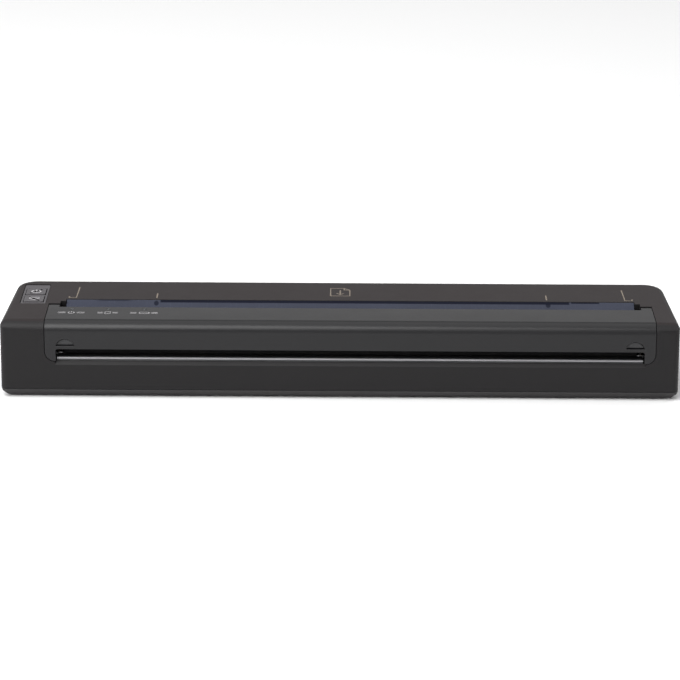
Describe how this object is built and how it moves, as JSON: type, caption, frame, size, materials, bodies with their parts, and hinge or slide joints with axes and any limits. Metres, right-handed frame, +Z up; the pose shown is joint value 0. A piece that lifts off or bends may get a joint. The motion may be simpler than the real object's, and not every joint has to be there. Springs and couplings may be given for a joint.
{
  "type": "portable thermal printer",
  "caption": "Long flat portable thermal printer for A4 sheets, with a hinged front cover, top feed slot, front exit slot and rear battery bay.",
  "frame": {"origin": "centre of the bounding box at the level of the feet's undersides", "axes": "+X along the width towards the right end, +Y towards the rear, +Z up; the exit slot faces -Y"},
  "size_m": [0.2548, 0.055, 0.03],
  "materials": {
    "case_black": "fine spark-eroded texture, warm charcoal black",
    "cover_black": "fine texture, slightly lighter charcoal",
    "panel_grey": "smooth satin grey",
    "ramp_navy": "smooth blue-black, satin gloss",
    "guide_black": "plain black",
    "lens_clear": "clear light pipe",
    "bright_steel": "brushed along its length",
    "plated_steel": "zinc plated",
    "bronze": "sintered bush",
    "white_gear": "acetal",
    "brass_gear": "cut brass",
    "platen_rubber": "ground rubber",
    "foot_rubber": "moulded rubber",
    "sink_aluminium": "extruded",
    "head_ceramic": "glazed ceramic",
    "board_green": "solder mask",
    "chip_black": "moulded package",
    "connector_ivory": "nylon",
    "battery_wrap": "shrink wrap"
  },
  "bodies": {
    "case": {"main_case": "case_black", "bottom_cover": "case_black", "rubber_feet": "foot_rubber", "bottom_screws": "plated_steel", "feed_ramp": "ramp_navy", "exit_guide": "guide_black", "tear_bar": "bright_steel", "left_side_plate": "plated_steel", "right_side_plate": "plated_steel", "plate_screws": "plated_steel", "frame_stay": "plated_steel", "left_bearing": "bronze", "right_bearing": "bronze", "idler_shaft": "bright_steel", "motor": "plated_steel", "main_board": "board_green", "board_chips": "chip_black", "radio_module": "plated_steel", "board_screws": "plated_steel", "io_board": "board_green", "data_port": "plated_steel", "power_inlet": "chip_black", "battery_pack": "battery_wrap", "battery_contacts": "chip_black", "door_pins": "bright_steel", "button_panel": "panel_grey", "button_board": "board_green", "button_switches": "chip_black", "cover_hinge_pins": "bright_steel", "catch_pins": "bright_steel", "paper_sensor": "chip_black", "flag_pin": "bright_steel", "cover_switch": "chip_black"},
    "platen": {"platen_shaft": "bright_steel", "platen_rubber": "platen_rubber", "platen_gear": "white_gear"},
    "idler": {"idler_gear": "white_gear"},
    "pinion": {"motor_pinion": "brass_gear"},
    "cover": {"release_cover": "cover_black", "cover_guide": "guide_black", "led_board": "board_green", "indicator_lenses": "lens_clear", "latch_spring": "plated_steel", "head_pins": "bright_steel", "head_springs": "plated_steel"},
    "latch": {"latch_rod": "bright_steel", "latch_hooks": "plated_steel", "finger_tabs": "guide_black"},
    "head": {"head_bracket": "plated_steel", "head_sink": "sink_aluminium", "thermal_head": "head_ceramic", "head_connector": "connector_ivory"},
    "power_key": {"power_button": "panel_grey"},
    "feed_key": {"feed_button": "panel_grey"},
    "port_flap": {"port_cover": "foot_rubber"},
    "door": {"battery_door": "case_black"},
    "thumb_catch": {"door_catch": "guide_black"},
    "flag": {"paper_flag": "white_gear"}
  },
  "joints": [
    {"name": "platen_spin", "type": "hinge", "parent": "case", "child": "platen", "pos_m": [0, -0.014, 0.0135], "axis": [1, 0, 0], "continuous": true},
    {"name": "idler_spin", "type": "hinge", "parent": "case", "child": "idler", "pos_m": [0, -0.00348, 0.0179], "axis": [1, 0, 0], "continuous": true},
    {"name": "pinion_spin", "type": "hinge", "parent": "case", "child": "pinion", "pos_m": [0, -0.0022, 0.0096], "axis": [1, 0, 0], "continuous": true},
    {"name": "cover_hinge", "type": "hinge", "parent": "case", "child": "cover", "pos_m": [0, -0.006, 0.0279], "axis": [-1, 0, 0], "range_deg": [0, 85]},
    {"name": "latch_turn", "type": "hinge", "parent": "cover", "child": "latch", "pos_m": [0, -0.0231, 0.0246], "axis": [-1, 0, 0], "range_deg": [0, 4], "stiffness_Nm_per_rad": 0.02, "springref_deg": -20.05},
    {"name": "head_pivot", "type": "hinge", "parent": "cover", "child": "head", "pos_m": [0, -0.011, 0.0254], "axis": [-1, 0, 0], "range_deg": [0, 3], "stiffness_Nm_per_rad": 0.5, "springref_deg": -11.46, "deforming": ["head_springs"]},
    {"name": "power_press", "type": "slide", "parent": "case", "child": "power_key", "axis": [0, 0, -1], "range_m": [0, 0.0006], "stiffness_N_per_m": 300, "springref_m": -0.002},
    {"name": "feed_press", "type": "slide", "parent": "case", "child": "feed_key", "axis": [0, 0, -1], "range_m": [0, 0.0006], "stiffness_N_per_m": 300, "springref_m": -0.002},
    {"name": "port_flap_turn", "type": "hinge", "parent": "case", "child": "port_flap", "pos_m": [-0.12466, 0, 0.01265], "axis": [0, 1, 0], "range_deg": [0, 90]},
    {"name": "battery_door_turn", "type": "hinge", "parent": "case", "child": "door", "pos_m": [0, 0.0265, 0.0239], "axis": [1, 0, 0], "range_deg": [0, 95]},
    {"name": "thumb_catch_slide", "type": "slide", "parent": "door", "child": "thumb_catch", "axis": [0, 0, 1], "range_m": [0, 0.0012], "stiffness_N_per_m": 200, "springref_m": -0.002},
    {"name": "flag_turn", "type": "hinge", "parent": "case", "child": "flag", "pos_m": [0, -0.0032, 0.0223], "axis": [1, 0, 0], "range_deg": [0, 30], "stiffness_Nm_per_rad": 0.0005, "springref_deg": -28.65}
  ],
  "couplings": [
    {"joint": "idler_spin", "follows": "platen_spin", "ratio": -1.375},
    {"joint": "pinion_spin", "follows": "platen_spin", "ratio": 1.8333}
  ]
}
